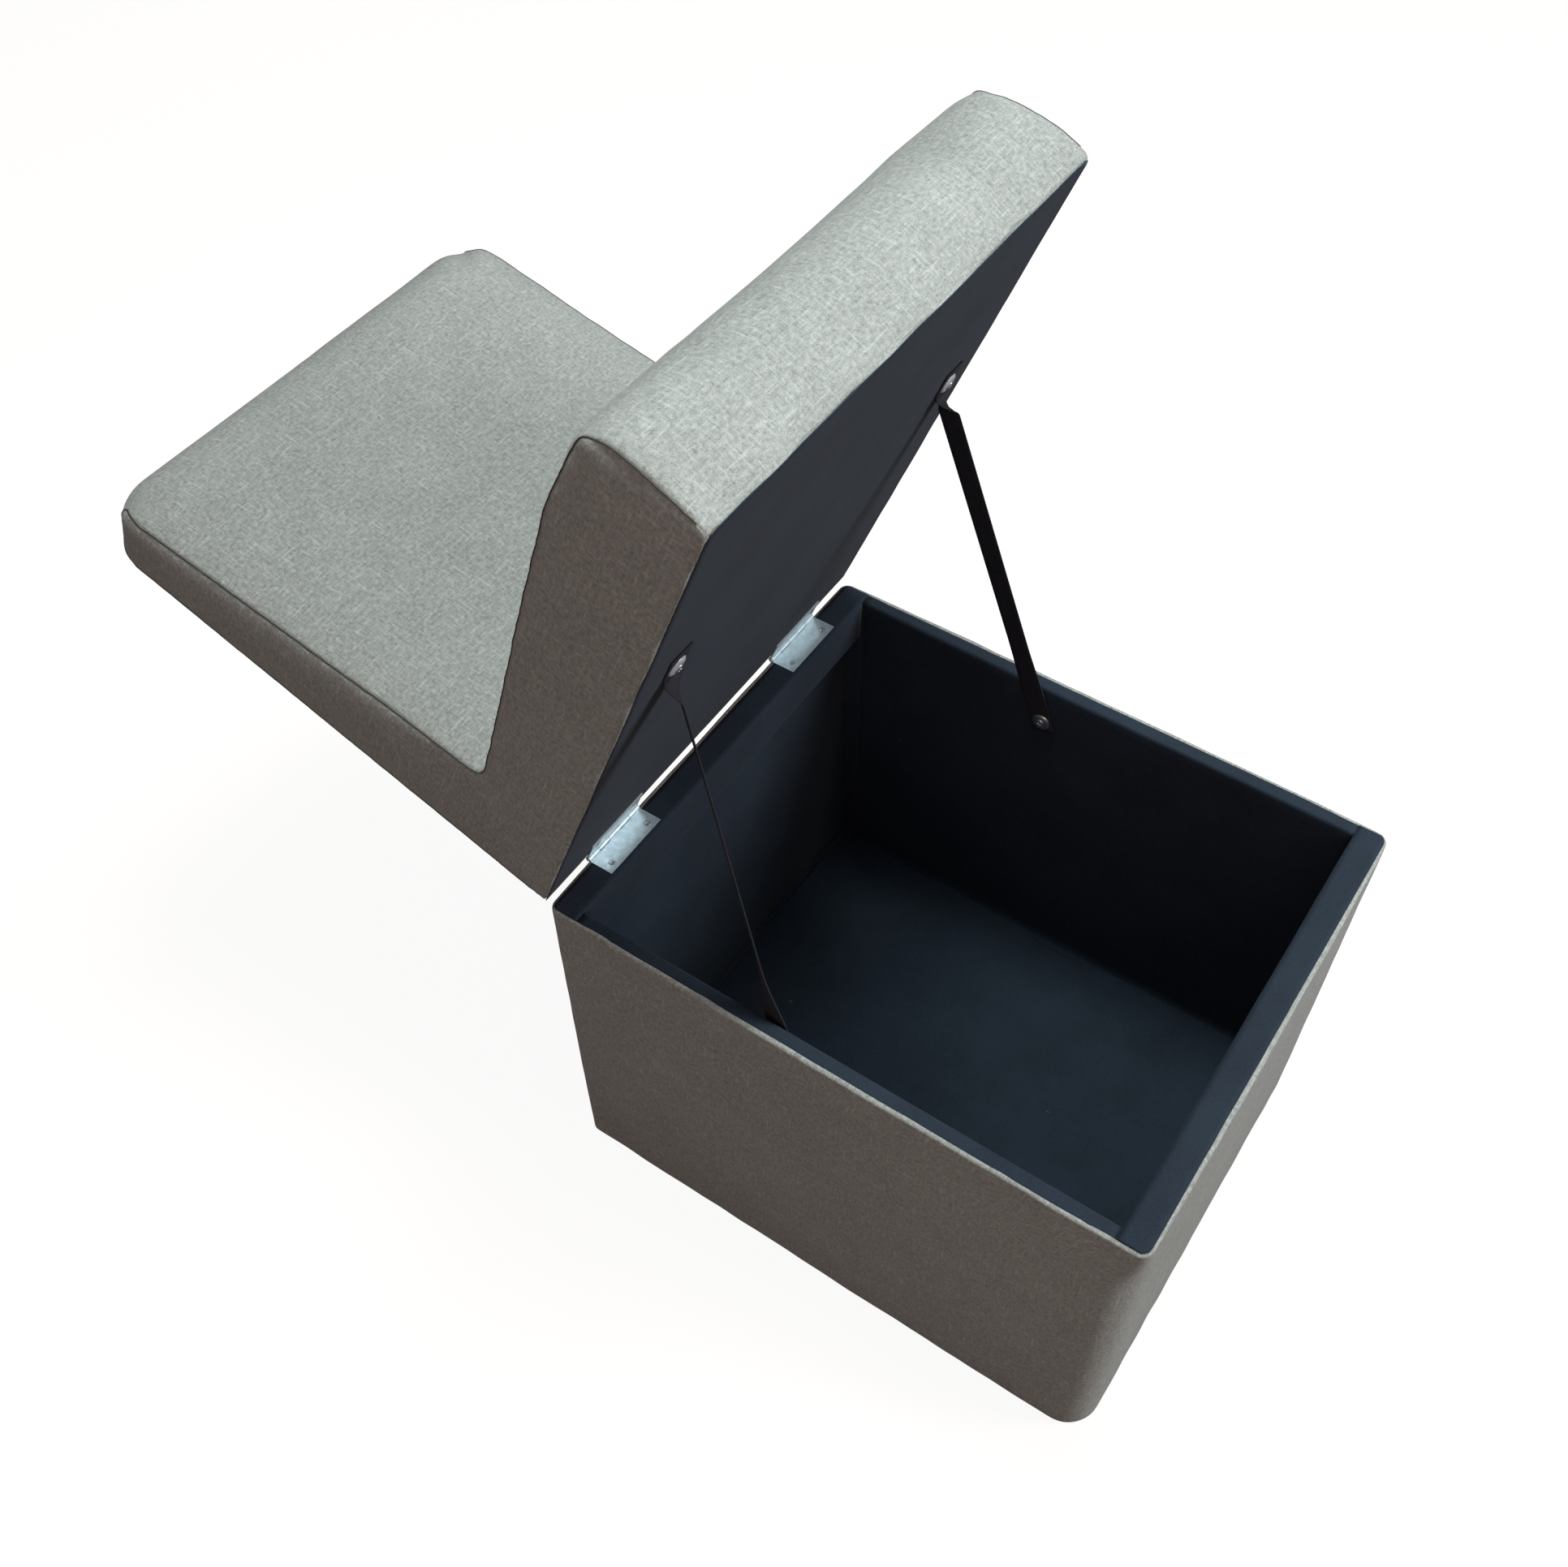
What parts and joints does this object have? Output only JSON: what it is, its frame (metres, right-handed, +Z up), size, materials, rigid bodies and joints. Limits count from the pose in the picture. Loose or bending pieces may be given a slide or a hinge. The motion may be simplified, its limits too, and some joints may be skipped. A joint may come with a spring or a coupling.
{
  "type": "storage seat",
  "caption": "Upholstered storage seat: a fabric-covered box whose hinged lid is an L-shaped padded seat and backrest, held open by two webbing straps.",
  "frame": {"origin": "centre of the box's flat underside, on the floor", "axes": "+Z up; -Y towards the front of the seat, +Y towards the hinges and backrest; +X across the width, a plane of symmetry lies at X = 0. At rest the lid stands open on its straps."},
  "size_m": [0.42, 0.9164, 0.8592],
  "materials": {
    "plywood": "matte",
    "pine": "matte",
    "hardboard": "matte",
    "foam": "matte",
    "wadding": "matte",
    "cover_fabric": "matte",
    "lining_cloth": "matte",
    "dust_cloth": "matte",
    "hinge_steel": "satin",
    "screw_steel": "satin",
    "washer_nickel": "satin",
    "webbing": "matte"
  },
  "bodies": {
    "box": {"bottom_dust_cloth": "dust_cloth", "bottom_panel": "plywood", "box_cover": "cover_fabric", "box_panel_screws": "screw_steel", "floor_lining": "lining_cloth", "front_foam": "foam", "front_lining": "lining_cloth", "front_rail_lining": "lining_cloth", "front_top_rail": "pine", "front_wall": "plywood", "hinge_box_screws": "screw_steel", "left_front_post": "pine", "left_hinge_lower_leaf": "hinge_steel", "left_hinge_pin": "hinge_steel", "left_lining": "lining_cloth", "left_wadding": "wadding", "left_wall": "plywood", "rear_lining": "lining_cloth", "rear_rail_lining": "lining_cloth", "rear_top_rail": "pine", "rear_wadding": "wadding", "rear_wall": "plywood", "right_front_post": "pine", "right_hinge_lower_leaf": "hinge_steel", "right_hinge_pin": "hinge_steel", "right_lining": "lining_cloth", "right_wadding": "wadding", "right_wall": "plywood", "strap_wall_screws": "screw_steel", "strap_wall_washers": "washer_nickel"},
    "lid": {"back_bottom_rail": "pine", "back_foam": "foam", "back_frame_screws": "screw_steel", "back_front_hardboard": "hardboard", "back_rear_hardboard": "hardboard", "back_top_rail": "pine", "hinge_lid_screws": "screw_steel", "left_back_stile": "pine", "left_hinge_upper_leaf": "hinge_steel", "left_side_cover": "cover_fabric", "lid_dust_cloth": "dust_cloth", "lid_wrap_cover": "cover_fabric", "right_back_stile": "pine", "right_hinge_upper_leaf": "hinge_steel", "right_side_cover": "cover_fabric", "seat_base_panel": "plywood", "seat_foam": "foam", "strap_lid_screws": "screw_steel", "strap_lid_tabs": "webbing", "strap_lid_washers": "washer_nickel"},
    "left_strap_lower": {"left_strap_lower": "webbing"},
    "left_strap_upper": {"left_strap_upper": "webbing"},
    "right_strap_lower": {"right_strap_lower": "webbing"},
    "right_strap_upper": {"right_strap_upper": "webbing"}
  },
  "joints": [
    {"name": "lid_hinge", "type": "hinge", "parent": "box", "child": "lid", "pos_m": [0, 0.255, 0.3587], "axis": [1, 0, 0], "range_deg": [0, 69.5]},
    {"name": "left_strap_lower_fold", "type": "hinge", "parent": "box", "child": "left_strap_lower", "pos_m": [0, 0.0439, 0.3172], "axis": [1, 0, 0], "range_deg": [0, 156.66]},
    {"name": "left_strap_upper_fold", "type": "hinge", "parent": "lid", "child": "left_strap_upper", "pos_m": [0, 0.14797, 0.64697], "axis": [1, 0, 0], "range_deg": [-58.41, 0]},
    {"name": "right_strap_lower_fold", "type": "hinge", "parent": "box", "child": "right_strap_lower", "pos_m": [0, 0.0439, 0.3172], "axis": [1, 0, 0], "range_deg": [0, 156.66]},
    {"name": "right_strap_upper_fold", "type": "hinge", "parent": "lid", "child": "right_strap_upper", "pos_m": [0, 0.14797, 0.64697], "axis": [1, 0, 0], "range_deg": [-58.41, 0]}
  ],
  "couplings": [
    {"joint": "left_strap_lower_fold", "follows": "lid_hinge", "ratio": 2.2468},
    {"joint": "left_strap_upper_fold", "follows": "lid_hinge", "ratio": -0.8332},
    {"joint": "right_strap_lower_fold", "follows": "lid_hinge", "ratio": 2.2468},
    {"joint": "right_strap_upper_fold", "follows": "lid_hinge", "ratio": -0.8332}
  ]
}
